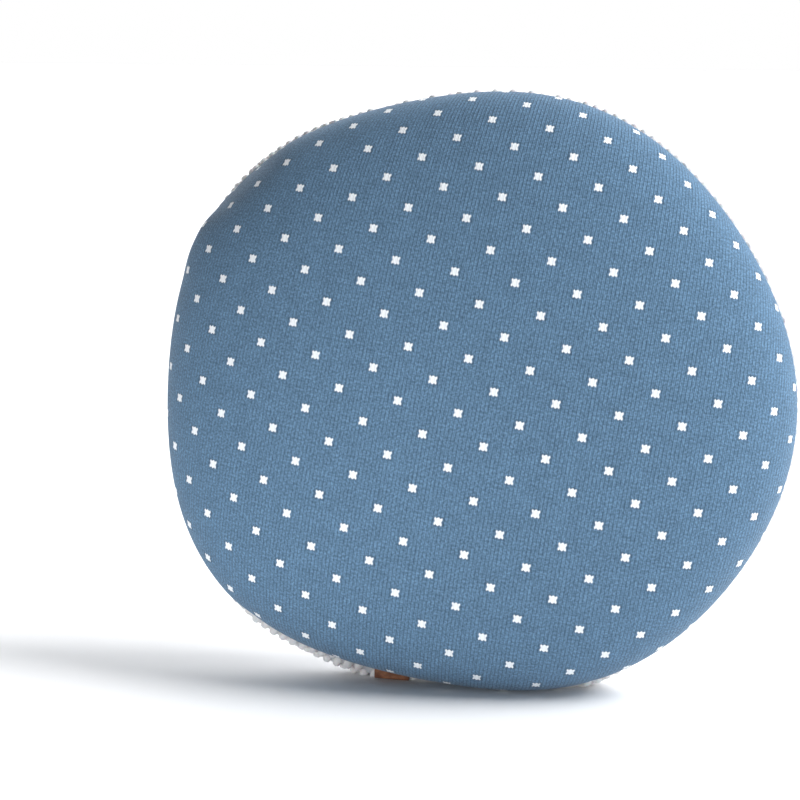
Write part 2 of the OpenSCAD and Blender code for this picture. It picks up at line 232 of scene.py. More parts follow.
def settled(r, a, d, lift=0.0):
    """A point at radius r, direction a and distance d in front of the seam plane, at rest."""
    x = r * cosd(a)
    y = r * sind(a) * sind(LEAN) - d * cosd(LEAN)
    z = SEAM_CENTRE[2] + r * sind(a) * cosd(LEAN) + d * sind(LEAN)
    sag = np.exp(-((x - FOOT_X) / SLUMP_W) ** 2) * ramp((y - SLUMP_START) / SLUMP_RUN)
    z = z - SLUMP * sag * (1 - ramp(z / SLUMP_TOP))
    t = z - lift
    turning = lift + (t + FLOOR_BLEND) ** 2 / (4 * FLOOR_BLEND)
    z = np.where(t >= FLOOR_BLEND, z, np.where(t <= -FLOOR_BLEND, lift, turning))
    return np.stack([x + SEAM_CENTRE[0], y + SEAM_CENTRE[1], z], -1)


def swell(side, a, u):
    """How far a panel stands out from the plain dome beside the seam."""
    total = 0.0
    for start, end, soft, size in FRONT_SWELLS if side > 0 else BACK_SWELLS:
        middle = (start + end) / 2
        turn = (a - middle + 180) % 360 - 180
        total = total + size * window(turn, start - middle, end - middle, soft)
    return total * np.exp(-((u - SWELL_AT) / SWELL_W) ** 2) * ramp(u / SWELL_START)


def dome(side, height, inset, cut, gap, fade, a, u):
    """Radius, and distance in front of the seam plane: u is 0 at the seam and 90 at the pole."""
    power = 2 / FULLNESS
    d = gap + (height - inset - gap) * sind(u) ** power
    r = (outline(a) - inset) * np.abs(cosd(u)) ** power - cut * np.exp((gap - d) / fade)
    return r + swell(side, a, u), side * d


def rings(count):
    """Steps from the seam to just short of the pole, closer together near the seam."""
    return 90 * (np.arange(count) / count) ** 1.5


def cover_point(side, inset, a, u, lift=0.0):
    """A point on a panel, on its outside at inset 0."""
    height = FRONT_DOME if side > 0 else BACK_DOME
    gap = rim_gap(a) + inset
    r, d = dome(side, height, inset, cover_cut(a), gap, GROOVE_FADE, a, u)
    return settled(r, a, d, lift)


# --- Meshes -------------------------------------------------------------------------------

def new_object(name, points, faces, smooth=True):
    mesh = bpy.data.meshes.new(name)
    mesh.from_pydata(np.asarray(points).tolist(), [], [list(map(int, f)) for f in faces])
    mesh.validate()
    mesh.update()
    piece = bpy.data.objects.new(name, mesh)
    bpy.context.scene.collection.objects.link(piece)
    mesh.polygons.foreach_set("use_smooth", [smooth] * len(mesh.polygons))
    return piece


def round_faces(rows, around, side):
    """Faces of a closed skin: rows of points round an outline, then a pole before the first row
    and a pole after the last one."""
    k = np.arange(around)
    after = (k + 1) % around
    start = np.arange(rows - 1)[:, None] * around
    walls = np.stack([start + k, start + after, start + around + after, start + around + k], -1)
    faces = walls.reshape(-1, 4).tolist()
    first, last = rows * around, rows * around + 1
    end = (rows - 1) * around
    faces += [[first, b, a] for a, b in zip(k.tolist(), after.tolist())]
    faces += [[last, end + a, end + b] for a, b in zip(k.tolist(), after.tolist())]
    return faces if side > 0 else [face[::-1] for face in faces]


def half_shell(name, side, outer, inner, turned, around):
    """A panel as a closed shell: outer face, turned-in edge and inner face. outer and inner give a
    point for directions and u, and turned gives the two rows of the turned-in edge."""
    a = np.arange(around) * 360 / around
    outer_rows = [outer(a, u) for u in rings(OUTER_RINGS)[::-1]]
    inner_rows = [inner(a, u) for u in rings(INNER_RINGS)]
    rows = outer_rows + turned(a) + inner_rows
    poles = [outer(np.zeros(1), 90.0), inner(np.zeros(1), 90.0)]
    points = np.concatenate(rows + poles)
    return new_object(name, points, round_faces(len(rows), around, side))


def turned_edge(side, radius, gap, thickness, turn_in, lift):
    """The two rows at the end of a seam allowance."""
    def rows(a):
        r = radius(a) - turn_in(a)
        near = settled(r, a, side * gap(a), lift)
        far = settled(r, a, side * (gap(a) + thickness), lift)
        return [near, far]
    return rows


def cover_panel(name, side, thickness):
    def turn_in(a):
        return ALLOWANCE + (thickness + 0.3 * MM - ALLOWANCE) * zip_open(a)
    edge = turned_edge(side, lambda a: outline(a) - cover_cut(a), rim_gap, thickness, turn_in, 0)
    return half_shell(name, side, lambda a, u: cover_point(side, 0, a, u),
                      lambda a, u: cover_point(side, thickness, a, u, LIFT_SHARE * thickness), edge, AROUND)


# --- Where a point of the cloth lies ------------------------------------------------------

def profile_lengths(height):
    """Arc length from the pole against u, over the outline's mean radius."""
    u = np.linspace(90, 0, 1200)
    power = 2 / FULLNESS
    r = OUTLINE_R * cosd(u) ** power
    d = height * sind(u) ** power
    steps = np.hypot(np.diff(r), np.diff(d))
    return u, np.concatenate([[0], np.cumsum(steps)])


def cloth_place(side, x, y):
    """Direction, u and remaining length to the seam of the cloth's point (x, y) from the pole."""
    u, lengths = profile_lengths(FRONT_DOME if side > 0 else BACK_DOME)
    a = np.degrees(np.arctan2(y, x)) % 360
    along = np.hypot(x, y) * OUTLINE_R / outline(a)
    return a, np.interp(along, lengths, u), lengths[-1] - along


def knit_coordinates(a, u):
    """Where a point of the knit panel lies on the knitting: along the courses and the wales."""
    table_u, lengths = profile_lengths(FRONT_DOME)
    along = np.interp(u, table_u[::-1], lengths[::-1])
    share = along / lengths[-1]
    share = share / (1 + share * (KNIT_STRETCH[0] * cosd(a) + KNIT_STRETCH[1] * sind(a)))
    reach = share * lengths[-1] * outline(a) / OUTLINE_R
    x = reach * cosd(a - KNIT_TURN)
    y = reach * sind(a - KNIT_TURN)
    return np.stack([x - KNIT_SHIFT[0] - KNIT_SHEAR * y, y - KNIT_SHIFT[1]], -1)


def set_uv(piece, uv):
    """Gives the mesh a UV map named fabric, from one pair of coordinates for each vertex."""
    layer = piece.data.uv_layers.new(name="fabric")
    corners = np.empty(len(piece.data.loops), int)
    piece.data.loops.foreach_get("vertex_index", corners)
    layer.data.foreach_set("uv", uv[corners].astype(np.float32).ravel())


def panel_uv():
    """Knit coordinates for each vertex of a cover panel."""
    a = np.arange(AROUND) * 360 / AROUND
    us = list(rings(OUTER_RINGS)[::-1]) + [0, 0] + list(rings(INNER_RINGS))
    rows = [knit_coordinates(a, u) for u in us]
    return np.concatenate(rows + [knit_coordinates(np.zeros(1), 90.0)] * 2)


# --- Materials ----------------------------------------------------------------------------

class Shader:
    """A Principled material and short calls for the nodes that feed it."""

    def __init__(self, name, **settings):
        self.material = bpy.data.materials.new(name)
        self.material.use_nodes = True
        self.tree = self.material.node_tree
        self.tree.nodes.clear()
        output = self.tree.nodes.new("ShaderNodeOutputMaterial")
        self.surface = self.tree.nodes.new("ShaderNodeBsdfPrincipled")
        self.tree.links.new(self.surface.outputs[0], output.inputs["Surface"])
        for socket, value in settings.items():
            self.feed(self.surface.inputs[socket.replace("_", " ")], value)

    def feed(self, socket, value):
        if isinstance(value, bpy.types.NodeSocket):
            self.tree.links.new(value, socket)
        else:
            socket.default_value = value

    def node(self, kind, inputs=(), output=0, **settings):
        made = self.tree.nodes.new("ShaderNode" + kind)
        for key, value in settings.items():
            setattr(made, key, value)
        for key, value in dict(inputs).items():
            self.feed(made.inputs[key], value)
        return made.outputs[output]

    def math(self, operation, *values):
        return self.node("Math", enumerate(values), operation=operation)

    def add(self, a, b):
        return self.math("ADD", a, b)

    def times(self, a, b):
        return self.math("MULTIPLY", a, b)

    def fit(self, value, low, high, to_low=0.0, to_high=1.0):
        """Eases value from low..high to to_low..to_high."""
        sockets = {"Value": value, "From Min": low, "From Max": high,
                   "To Min": to_low, "To Max": to_high}
        return self.node("MapRange", sockets, interpolation_type="SMOOTHSTEP")

    def mix(self, factor, first, second):
        return self.node("Mix", {0: factor, 6: first, 7: second}, output=2, data_type="RGBA")

    def shade(self, colour, amount):
        """The colour times an amount that varies over the surface."""
        grey = self.node("CombineColor", {0: amount, 1: amount, 2: amount})
        sockets = {0: 1.0, 6: colour, 7: grey}
        return self.node("Mix", sockets, output=2, data_type="RGBA", blend_type="MULTIPLY")

    def place(self):
        """The point's place on its own mesh, which moves with it."""
        return self.node("TexCoord", output="Object")

    def stretched(self, vector, scale):
        return self.node("Mapping", {"Vector": vector, "Scale": scale})

    def noise(self, vector, scale, detail=2.0, roughness=0.5):
        sockets = {"Vector": vector, "Scale": scale, "Detail": detail, "Roughness": roughness}
        return self.node("TexNoise", sockets)

    def cells(self, vector, scale, feature="F1"):
        return self.node("TexVoronoi", {"Vector": vector, "Scale": scale}, feature=feature)

    def bump(self, height, distance, strength=1.0, normal=None):
        sockets = {"Height": height, "Distance": distance, "Strength": strength}
        if normal is not None:
            sockets["Normal"] = normal
        return self.node("Bump", sockets)

    def finish(self, colour, normal=None, roughness=None):
        self.feed(self.surface.inputs["Base Color"], colour)
        if normal is not None:
            self.feed(self.surface.inputs["Normal"], normal)
        if roughness is not None:
            self.feed(self.surface.inputs["Roughness"], roughness)
        return self.material


def off_middle(s, value):
    """Distance from the nearest whole number."""
    return s.math("ABSOLUTE", s.math("SUBTRACT", value, s.math("ROUND", value)))


def motif_mask(s, wales, courses, off_wale, reach=0.0):
    """1 on the small star motifs: one at each corner of the repeat and one in its middle. Each has
    three prongs at its top and bottom and two points at each side; reach widens it."""
    masks = []
    for half in (0, 0.5):
        across = s.math("SUBTRACT", s.times(wales, 1 / REPEAT_WALES), half)
        up = s.math("SUBTRACT", s.times(courses, 1 / REPEAT_COURSES), half)
        across = s.times(off_middle(s, across), REPEAT_WALES)
        up = s.times(off_middle(s, up), REPEAT_COURSES)
        point = s.math("SUBTRACT", 1.0, s.math("ABSOLUTE", s.math("SUBTRACT", up, 1.0)))
        side = s.add(across, s.times(point, -0.27))
        end = s.add(up, s.times(off_wale, 1.25))
        inside = s.times(s.fit(side, 0.95 + reach, 0.72 + reach),
                         s.fit(end, 2.0 + reach, 1.66 + reach))
        masks.append(inside)
    return s.math("MAXIMUM", *masks)


def knit_material():
    s = Shader("knit", Roughness=0.9, Specular_IOR_Level=0.25, Sheen_Weight=0.12,
               Sheen_Roughness=0.45)
    cloth = s.node("UVMap", uv_map="fabric")
    axes = s.tree.nodes.new("ShaderNodeSeparateXYZ")
    s.feed(axes.inputs[0], cloth)
    wales = s.times(axes.outputs[0], REPEAT_WALES / REPEAT_W)
    courses = s.times(axes.outputs[1], REPEAT_COURSES / REPEAT_H)
    off_wale = off_middle(s, wales)
    slanted = s.add(courses, s.times(off_wale, 1.3))
    stitch = s.node("CombineXYZ", {0: s.math("ROUND", wales), 1: s.math("FLOOR", slanted)})
    tone = s.node("TexWhiteNoise", {"Vector": stitch}, noise_dimensions="2D")
    leg = s.math("SINE", s.times(s.math("FRACT", slanted), math.pi))
    rib = s.math("SQRT", s.math("MAXIMUM", s.math("SUBTRACT", 1.0, s.times(
        s.times(off_wale, off_wale), 3.9)), 0.0))
    split = s.fit(off_wale, 0.0, 0.16, 0.72, 1.0)
    height = s.times(s.times(rib, split), s.fit(leg, 0.0, 1.0, 0.86, 1.0))
    patches = s.noise(cloth, 70.0, 3.0)
    grain = s.noise(cloth, 640.0, 2.0, 0.6)
    # Painted shade and highlight: the yarn is painted darker in the hollows between the ribs and stitches
    # and lighter on their crowns, times random tone from grain, patches and each stitch
    shading = s.times(s.fit(height, 0.0, 0.9, 0.48, 1.14), s.fit(grain, 0.32, 0.68, 0.78, 1.2))
    shading = s.times(shading, s.fit(patches, 0.3, 0.7, 0.95, 1.05))
    shading = s.times(shading, s.fit(tone, 0.0, 1.0, 0.95, 1.05))
    blue = s.mix(s.fit(grain, 0.4, 0.7), BLUE, PALE_BLUE)
    mask = motif_mask(s, wales, courses, off_wale)
    specks = s.times(motif_mask(s, wales, courses, off_wale, 0.7), s.fit(tone, 0.5, 0.75))
    yarn = s.shade(s.shade(blue, shading), s.fit(specks, 0.0, 1.0, 1.0, 0.72))
    # The white motif is painted darker in the rib hollows too, as painted shade
    white = s.shade((0.80, 0.83, 0.86, 1), s.fit(height, 0.0, 0.7, 0.80, 1.0))
    colour = s.mix(mask, yarn, white)
    normal = s.bump(height, 0.55 * MM, 0.75)
    return s.finish(colour, normal)


def plush_material(name, tone):
    """Short soft pile: fine fuzz over a faint mottle, with a strong sheen."""
    s = Shader(name, Roughness=0.95, Specular_IOR_Level=0.15, Sheen_Weight=0.45,
               Sheen_Roughness=0.4, Subsurface_Weight=0.12, Subsurface_Scale=2 * MM)
    place = s.place()
    fuzz = s.noise(place, 1900.0, 3.0, 0.7)
    tufts = s.cells(place, 900.0)
    mottle = s.noise(place, 240.0, 3.0, 0.6)
    shading = s.times(s.fit(fuzz, 0.3, 0.7, 0.93, 1.04), s.fit(mottle, 0.3, 0.7, 0.95, 1.03))
    height = s.add(s.times(fuzz, 0.6), s.times(tufts, -0.5))
    return s.finish(s.shade(tone, shading), s.bump(height, 0.35 * MM, 0.6))


def woven_material(name, colour, threads_per_mm, depth, wear=0.06):
    """A plain weave on the mesh's own x, y and z."""
    s = Shader(name, Roughness=0.88, Specular_IOR_Level=0.2, Sheen_Weight=0.1)
    place = s.place()
    axes = s.tree.nodes.new("ShaderNodeSeparateXYZ")
    s.feed(axes.inputs[0], place)
    turns = threads_per_mm * math.pi / MM
    across = s.math("SINE", s.times(s.add(axes.outputs[0], s.times(axes.outputs[1], 0.7)), turns))
    up = s.math("SINE", s.times(s.add(axes.outputs[2], s.times(axes.outputs[1], 0.4)), turns))
    weave = s.math("ABSOLUTE", s.times(across, up))
    slubs = s.noise(s.stretched(place, (1.0, 1.0, 8.0)), 160.0, 3.0)
    shading = s.times(s.fit(weave, 0.0, 1.0, 0.86, 1.03), s.fit(slubs, 0.3, 0.7, 1 - wear, 1.0))
    return s.finish(s.shade(colour, shading), s.bump(weave, depth, 0.7))


def thread_material(name, colour):
    """Twisted sewing thread."""
    s = Shader(name, Roughness=0.6, Specular_IOR_Level=0.35, Sheen_Weight=0.2)
    place = s.place()
    twist = s.node("TexWave", {"Vector": place, "Scale": 900.0, "Distortion": 2.0},
                   bands_direction="DIAGONAL")
    fuzz = s.noise(place, 2500.0, 2.0)
    return s.finish(s.shade(colour, s.fit(twist, 0.0, 1.0, 0.78, 1.0)),
                    s.bump(s.add(twist, s.times(fuzz, 0.4)), 0.12 * MM, 0.8))


def leather_material():
    """Pebbled brown leather, lighter where it is rubbed and darker in its creases."""
    s = Shader("leather", Specular_IOR_Level=0.45, Coat_Weight=0.08, Coat_Roughness=0.4)
    place = s.place()
    pebbles = s.cells(place, 1300.0, "DISTANCE_TO_EDGE")
    clouds = s.noise(place, 110.0, 4.0, 0.6)
    pores = s.noise(place, 3200.0, 2.0)
    grain = s.fit(pebbles, 0.0, 0.12)
    tan = s.mix(s.fit(clouds, 0.35, 0.68), (0.155, 0.052, 0.020, 1), (0.330, 0.135, 0.060, 1))
    colour = s.shade(tan, s.times(s.fit(grain, 0.0, 1.0, 0.72, 1.0), s.fit(pores, 0.3, 0.7, 0.9, 1.05)))
    normal = s.bump(s.add(grain, s.times(pores, 0.3)), 0.12 * MM, 0.6)
    return s.finish(colour, normal, s.fit(clouds, 0.3, 0.7, 0.62, 0.46))


def metal_material():
    """Brushed nickel with fine scratches and worn, duller patches."""
    s = Shader("zip_metal", Metallic=1.0)
    place = s.place()
    scratches = s.noise(s.stretched(place, (1.0, 1.0, 14.0)), 1500.0, 3.0)
    patches = s.noise(place, 260.0, 3.0)
    colour = s.mix(s.fit(patches, 0.35, 0.7), (0.55, 0.56, 0.57, 1), (0.72, 0.72, 0.71, 1))
    return s.finish(colour, s.bump(scratches, 0.02 * MM, 0.5),
                    s.fit(scratches, 0.3, 0.7, 0.22, 0.42))


def coil_material():
    """Moulded nylon, slightly translucent, with faint mould lines."""
    s = Shader("zip_coil", Roughness=0.42, Specular_IOR_Level=0.5, Subsurface_Weight=0.1,
               Subsurface_Scale=1 * MM)
    place = s.place()
    lines = s.noise(s.stretched(place, (6.0, 6.0, 1.0)), 900.0, 2.0)
    return s.finish(s.shade((0.78, 0.78, 0.77, 1), s.fit(lines, 0.3, 0.7, 0.9, 1.0)),
                    s.bump(lines, 0.03 * MM, 0.5))


def fibre_material():
    """Loose polyester fibre."""
    s = Shader("fibre", Roughness=1.0, Specular_IOR_Level=0.1, Sheen_Weight=0.5)
    place = s.place()
    strands = s.noise(s.stretched(place, (1.0, 3.0, 1.0)), 420.0, 5.0, 0.7)
    clumps = s.noise(place, 60.0, 4.0)
    shading = s.times(s.fit(strands, 0.3, 0.7, 0.86, 1.0), s.fit(clumps, 0.3, 0.7, 0.92, 1.0))
    return s.finish(s.shade((0.86, 0.86, 0.85, 1), shading), s.bump(strands, 0.8 * MM, 0.8))


# --- Pieces -------------------------------------------------------------------------------

def finished(piece, body, slot, material, *nodes):
    """Gives a piece its material and body, and hides the CAD nodes that it stands for. The slot is not
    used.
    """
    piece.data.materials.append(material)
    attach(piece, body)
    if nodes:
        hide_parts(*nodes)
    return piece


def make_knit_panel():
    piece = cover_panel("knit_front", 1, KNIT_T)
    set_uv(piece, panel_uv())
    finished(piece, "cushion", "knit_fabric", knit_material(), "knit_front_panel")


def make_plush_panel():
    piece = cover_panel("plush_back", -1, PLUSH_T)
    # The panel is the same white plush as the dots, painted darker (0.50 against 0.73) as painted shade
    # between the dots
    material = plush_material("plush", (0.50, 0.50, 0.53, 1))
    finished(piece, "cushion", "plush_fabric", material, "plush_back_panel")


def dot_centres():
    """Middles of the plush dots, in staggered rows from seam to seam."""
    count = int(300 * MM / DOT_PITCH)
    i, j = np.meshgrid(np.arange(-count, count + 1), np.arange(-count, count + 1))
    x = DOT_PITCH * sind(60) * i
    y = DOT_PITCH * (j + 0.5 * (i % 2))
    x, y = x.ravel(), y.ravel()
    _, _, left = cloth_place(-1, x, y)
    keep = left > DOT_KEEP_OFF
    return x[keep], y[keep]


def plush_point(x, y):
    """The plush panel's surface at a point of its cloth."""
    a, u, _ = cloth_place(-1, x, y)
    return cover_point(-1, 0, a, u)


def plush_normals(x, y):
    step = 0.8 * MM
    across = plush_point(x + step, y) - plush_point(x - step, y)
    up = plush_point(x, y + step) - plush_point(x, y - step)
    normal = -np.cross(across, up)
    return normal / np.linalg.norm(normal, axis=1)[:, None]


def make_plush_dots():
    """Low round domes of thicker pile, each one a closed form sunk a little into the panel."""
    x, y = dot_centres()
    rng = np.random.default_rng(7)
    size = rng.uniform(0.94, 1.05, len(x))
    a, u, _ = cloth_place(-1, x, y)
    start, end, soft, more = PLUMP_DOTS
    plump = 1 + more * window(a, start, end, soft) * (u < 16)
    x = x + rng.uniform(-DOT_JITTER, DOT_JITTER, len(x)) * MM
    y = y + rng.uniform(-DOT_JITTER, DOT_JITTER, len(y)) * MM
    normals = plush_normals(x, y)
    turns = np.arange(DOT_SIDES) * 360 / DOT_SIDES
    rows = []
    for share, rise in DOT_PROFILE:
        for turn in turns:
            reach = DOT_R * share * size
            foot = plush_point(x + reach * cosd(turn), y + reach * sind(turn))
            rows.append(foot + normals * (DOT_H * rise * size * plump)[:, None])
    for rise in (1.0, DOT_SUNK):
        rows.append(plush_point(x, y) + normals * (DOT_H * rise * size * plump)[:, None])
    points = np.stack(rows, 1)
    faces = np.array(dot_faces())
    whole = (np.arange(len(x))[:, None, None] * points.shape[1] + faces[None]).reshape(-1, 3)
    above = np.maximum(points.reshape(-1, 3), [-1, -1, FLOOR_CLEARANCE])
    piece = new_object("plush_dots", above, whole)
    # The dots keep the plush's own white; the panel between them is painted darker as painted shade
    material = plush_material("plush_dot", (0.73, 0.73, 0.74, 1))
    finished(piece, "cushion", "plush_fabric", material)


def dot_faces():
    """Triangles of one dot, closed by its crown and by a point under it."""
    n, rows = DOT_SIDES, len(DOT_PROFILE)
    crown, base = n * rows, n * rows + 1
    faces = []
    for k in range(n):
        after = (k + 1) % n
        for row in range(rows - 1):
            a, b = row * n + k, row * n + after
            faces += [[a, b + n, b], [a, a + n, b + n]]
        top = (rows - 1) * n
        faces += [[top + k, crown, top + after], [k, after, base]]
    return faces


def tube(name, middle, radius, sides, closed):
    """A tube round a line of points, with a radius for each point."""
    middle = np.asarray(middle)
    if closed:
        ahead = np.roll(middle, -1, 0) - np.roll(middle, 1, 0)
    else:
        ahead = np.gradient(middle, axis=0)
    ahead /= np.linalg.norm(ahead, axis=1)[:, None]
    out = middle - SEAM_CENTRE
    out -= ahead * np.sum(out * ahead, 1)[:, None]
    out /= np.linalg.norm(out, axis=1)[:, None]
    beside = np.cross(ahead, out)
    turns = np.arange(sides) * 360 / sides
    radius = np.broadcast_to(radius, len(middle))[:, None]
    rows = [middle + radius * (out * cosd(t) + beside * sind(t)) for t in turns]
    points = np.stack(rows, 1).reshape(-1, 3)
    count = len(middle)
    faces = []
    for i in range(count if closed else count - 1):
        for k in range(sides):
            a, b = i * sides + k, i * sides + (k + 1) % sides
            step = ((i + 1) % count) * sides - i * sides
            faces.append([a, b, b + step, a + step])
    if not closed:
        faces += [list(range(sides))[::-1], [(count - 1) * sides + k for k in range(sides)]]
    return new_object(name, points, faces)


def join(pieces):
    with bpy.context.temp_override(active_object=pieces[0], object=pieces[0],
                                   selected_editable_objects=pieces, selected_objects=pieces):
        bpy.ops.object.join()
    return pieces[0]


def stitch_line(name, start, end, per_stitch, point, radius):
    """Machine stitches along a line: a thread that swells on top and dips at each needle hole.
    point gives the place for directions and a rise of 0 to 1."""
    span = end - start
    stitches = int(span / per_stitch)
    a = np.linspace(start, start + stitches * per_stitch, stitches * 6 + 1)
    rise = np.abs(sind((a - start) / per_stitch * 180))
    return tube(name, point(a, rise), radius * (0.55 + 0.45 * rise), 6, False)


def make_seam_thread():
    depth = GROOVE + 2 * THREAD_D

    def point(a, rise):
        return settled(outline(a) - depth + 0.25 * THREAD_D * rise, a, 0 * a,
                       SEAM_GAP + THREAD_D / 2)
    per_stitch = math.degrees(SEAM_STITCH / OUTLINE_R)
    runs = [(OPEN_TO + OPEN_SOFT, TAB_AT - THREAD_CLEAR),
            (TAB_AT + THREAD_CLEAR, 360 + OPEN_FROM - OPEN_SOFT)]
    parts = [stitch_line(f"seam_run_{i}", a, b, per_stitch, point, THREAD_D / 2)
             for i, (a, b) in enumerate(runs)]
    piece = join(parts)
    piece.name = "seam_stitches"
    finished(piece, "cushion", "sewing_thread", THREAD, "cover_seam_thread")


def on_chain(b, out, across):
    """A point beside the zip chain: b along it, out from its middle line and across it."""
    reach = ZIP_R + out
    x = CHAIN_CENTRE[0] + reach * cosd(b)
    y = CHAIN_CENTRE[1] + reach * sind(b) * sind(LEAN) - across * cosd(LEAN)
    z = CHAIN_CENTRE[2] + reach * sind(b) * cosd(LEAN) + across * sind(LEAN)
    return np.stack([x, y, z], -1)


def make_zip_coil(side, name, node):
    """One row of the chain: a flattened spiral of nylon wire."""
    wire = COIL_WIRE
    pitch = math.degrees(COIL_PITCH / ZIP_R)
    turns = int(2 * ZIP_HALF / pitch)
    b = np.linspace(0, turns, turns * 12 + 1)
    half = (COIL_OUT - COIL_IN) / 2 - wire
    across = side * ((COIL_OUT + COIL_IN) / 2 + half * cosd(360 * b))
    out = (COIL_HALF_H - wire) * sind(360 * b)
    phase = 0.25 if side > 0 else 0.75
    at = ZIP_AT - ZIP_HALF + np.clip(b + phase - 0.5, 0, turns) * pitch
    piece = tube(name, on_chain(at, out, across), wire, 6, False)
    finished(piece, "cushion", "zip_coil", COIL, node)


def make_zip_stitching(side, name, node):
    start = ZIP_AT - ZIP_HALF - TAPE_OVER
    end = ZIP_AT + ZIP_HALF + TAPE_OVER

    def point(b, rise):
        return on_chain(b, -COIL_HALF_H - 0.05 * MM + (0.15 + 0.3 * rise) * MM,
                        side * STITCH_ACROSS + 0 * b)
    per_stitch = math.degrees(TAPE_STITCH / ZIP_R)
    piece = stitch_line(name, start, end, per_stitch, point, TAPE_THREAD_R)
    finished(piece, "cushion", "sewing_thread", THREAD, node)


def make_tab():
    """A folded strip of leather: two plies hang from the seam and meet in a round fold."""
    fold_r = TAB_FOLD_IN + TAB_T
    flat = TAB_ROOT + TAB_DROP - fold_r
    steps = 14
    turn = np.linspace(180, 360, steps)
    ply = np.linspace(0, 1, 9)
    bow = TAB_BOW * np.sin(np.pi * ply)

    def strip(radius, sign):
        """From the top of one ply, round the fold, to the top of the other."""
        down = np.stack([-radius - sign * bow, flat * (1 - ply)], -1)
        bend = np.stack([radius * cosd(turn), radius * sind(turn)], -1)[1:-1]
        up = np.stack([radius + sign * bow[::-1], flat * ply], -1)
        return np.concatenate([down, bend, up])
    outer, inner = strip(fold_r, 1), strip(TAB_FOLD_IN, 1)
    profile = np.concatenate([outer, inner[::-1]])
    rim = outline(np.array(TAB_AT)) - GROOVE
    columns = 15
    points = []
    for i in range(columns):
        along = TAB_W * (i / (columns - 1) - 0.5)
        for across, up in profile:
            points.append((along, across, up - TAB_DROP + fold_r))
    points = np.array(points)
    c, s = cosd(-TAB_TILT), sind(-TAB_TILT)
    x = rim * cosd(TAB_AT) + points[:, 0] * c - points[:, 2] * s
    up = rim * sind(TAB_AT) + points[:, 0] * s + points[:, 2] * c
    front = -points[:, 1]
    place = np.stack([SEAM_CENTRE[0] + x,
                      SEAM_CENTRE[1] + up * sind(LEAN) - front * cosd(LEAN),
                      SEAM_CENTRE[2] + up * cosd(LEAN) + front * sind(LEAN)], -1)
    n = len(profile)
    faces = []
    for i in range(columns - 1):
        for k in range(n):
            a, b = i * n + k, i * n + (k + 1) % n
            faces.append([a, a + n, b + n, b])
    half = n // 2
    for k in range(half - 1):
        quad = [k, k + 1, n - 2 - k, n - 1 - k]
        faces.append(quad)
        faces.append([(columns - 1) * n + v for v in quad[::-1]])
    piece = new_object("folded_tab", place, faces)
    bevel = piece.modifiers.new("soft_edges", "BEVEL")
    bevel.width = TAB_EDGE
    bevel.segments = 2
    bevel.limit_method = "ANGLE"
    bevel.angle_limit = math.radians(50)
    finished(piece, "cushion", "leather", leather_material(), "leather_tab")


def lining_point(side, inset, a, u, cut, lift):
    height = FRONT_DOME if side > 0 else BACK_DOME
    r, d = dome(side, height, inset, cut, SEAM_GAP, LINING_FADE, a, u)
    return settled(r, a, d, lift)


def make_lining(side, name, node):
    inset = LAYER_GAP + (KNIT_T if side > 0 else PLUSH_T)
    lift = LIFT_SHARE * PLUSH_T + FOOT_ROOM
    a = np.arange(LINING_AROUND) * 360 / LINING_AROUND
    cut = lining_cut(a)

    def face(depth, us):
        raised = lift + (LIFT_SHARE * LINING_T if depth else 0)
        return [lining_point(side, inset + depth, a, u, cut, raised) for u in us]
    turned = turned_edge(side, lambda b: outline(b) - inset - lining_cut(b),
                         lambda b: SEAM_GAP + 0 * b, LINING_T,
                         lambda b: LINING_ALLOWANCE + 0 * b, lift)
    rows = face(0, rings(LINING_RINGS)[::-1]) + turned(a) + face(LINING_T, rings(LINING_RINGS))
    poles = [lining_point(side, inset + t, np.zeros(1), 90.0, 0, lift) for t in (0, LINING_T)]
    faces = round_faces(len(rows), LINING_AROUND, side)
    piece = new_object(name, np.concatenate(rows + poles), faces)
    finished(piece, "cushion", "lining_fabric", LINING, node)


def make_fill():
    """Loose fibre that fills the lining, with soft lumps."""
    a = np.arange(FILL_AROUND) * 360 / FILL_AROUND
    lift = LIFT_SHARE * (PLUSH_T + LINING_T) + 2 * FOOT_ROOM
    cut = lining_cut(a) + FILL_GROOVE
    us = rings(FILL_RINGS)

    def face(side, order):
        inset = LAYER_GAP + (KNIT_T if side > 0 else PLUSH_T) + LINING_T + FILL_GAP
        rows = []
        for u in order:
            lump = LUMP_H * (1 + sind(5 * a + 40 * side) * sind(3 * u + 20)) * (u > LUMPS_FROM)
            rows.append(lining_point(side, inset + lump, a, u, cut, lift))
        return rows
    rows = face(1, us[::-1]) + face(-1, us)
    poles = [lining_point(side, FILL_POLE_INSET, np.zeros(1), 90.0, 0, lift)
             for side in (1, -1)]
    piece = new_object("fibre_filling", np.concatenate(rows + poles),
                       round_faces(len(rows), FILL_AROUND, 1))
    finished(piece, "cushion", "fibre", fibre_material(), "fibre_fill")


def finish_cad_node(name, material, bevel=0.0):
    """A CAD node whose shape is right keeps it and gets a detailed material."""
    node = frame["nodes"][name]
    node.data.materials.clear()
    node.data.materials.append(material)
    if bevel:
        weld = node.modifiers.new("one_skin", "WELD")
        weld.merge_threshold = 0.01 * MM
        edges = node.modifiers.new("soft_edges", "BEVEL")
        edges.width = bevel
        edges.segments = 2
        edges.limit_method = "ANGLE"
        edges.angle_limit = math.radians(40)


THREAD = thread_material("thread", (0.80, 0.80, 0.80, 1))
COIL = coil_material()
LINING = woven_material("lining", (0.74, 0.73, 0.70, 1), 2.2, 0.12 * MM)

make_knit_panel()
make_plush_panel()
make_plush_dots()
make_seam_thread()
make_tab()
make_zip_coil(1, "coil_front", "zip_coil_front")
make_zip_coil(-1, "coil_back", "zip_coil_back")
make_zip_stitching(1, "tape_stitches_front", "zip_stitching_front")
make_zip_stitching(-1, "tape_stitches_back", "zip_stitching_back")
make_lining(1, "pad_case_front", "lining_front")
make_lining(-1, "pad_case_back", "lining_back")
make_fill()

